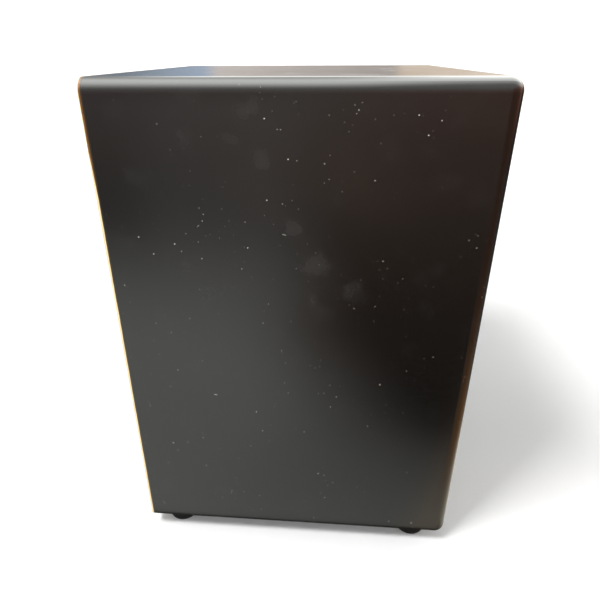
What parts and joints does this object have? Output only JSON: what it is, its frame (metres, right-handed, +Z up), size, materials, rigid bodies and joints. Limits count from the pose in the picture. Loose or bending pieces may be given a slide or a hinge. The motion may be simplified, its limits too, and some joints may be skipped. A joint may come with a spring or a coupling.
{
  "type": "cajon",
  "caption": "Box drum with a thin wooden playing face, a round sound hole in the back, rubber feet, and a snare frame inside that a lever swings off the face.",
  "frame": {"origin": "on the floor, midway between the side panels and midway between the playing face and the back rim", "axes": "+Z up, -Y the way the playing face looks, +Y the way the sound hole looks; left is -X and right is +X, as seen facing the playing face"},
  "size_m": [0.31, 0.3, 0.44],
  "materials": {
    "black_lacquer": "satin lacquer",
    "softwood": "sanded",
    "tapa_plywood": "satin varnish",
    "black_screws": "black oxide",
    "black_rubber": "matt",
    "zinc_steel": "zinc plated",
    "hardwood": "oiled",
    "nylon": "satin",
    "snare_brass": "satin",
    "snare_steel": "bright",
    "black_plastic": "gloss"
  },
  "bodies": {
    "shell": {"side_panel_left": "black_lacquer", "side_panel_right": "black_lacquer", "top_panel": "black_lacquer", "bottom_panel": "black_lacquer", "back_panel": "black_lacquer", "glue_block_top_left": "softwood", "glue_block_top_right": "softwood", "glue_block_bottom_left": "softwood", "glue_block_bottom_right": "softwood", "tapa": "tapa_plywood", "tapa_screws_top": "black_screws", "tapa_screws_bottom": "black_screws", "tapa_screws_left": "black_screws", "tapa_screws_right": "black_screws", "foot_front_left": "black_rubber", "foot_front_right": "black_rubber", "foot_back_left": "black_rubber", "foot_back_right": "black_rubber", "foot_washers": "zinc_steel", "foot_screws": "zinc_steel", "pivot_block_screws": "zinc_steel", "pivot_block_left": "hardwood", "pivot_block_right": "hardwood"},
    "snare_arm": {"snare_beam": "hardwood", "pivot_pin_left": "zinc_steel", "pivot_pin_right": "zinc_steel", "thrust_washer_left": "nylon", "thrust_washer_right": "nylon", "snare_plate_left": "snare_brass", "snare_plate_right": "snare_brass", "snare_wires_left": "snare_steel", "snare_wires_right": "snare_steel", "snare_plate_screws": "zinc_steel", "snare_lever": "zinc_steel", "lever_nut": "zinc_steel", "lever_knob": "black_plastic"}
  },
  "joints": [
    {"name": "snare_swing", "type": "hinge", "parent": "shell", "child": "snare_arm", "pos_m": [0, -0.135, 0.3], "axis": [-1, 0, 0], "range_deg": [0, 20]}
  ]
}
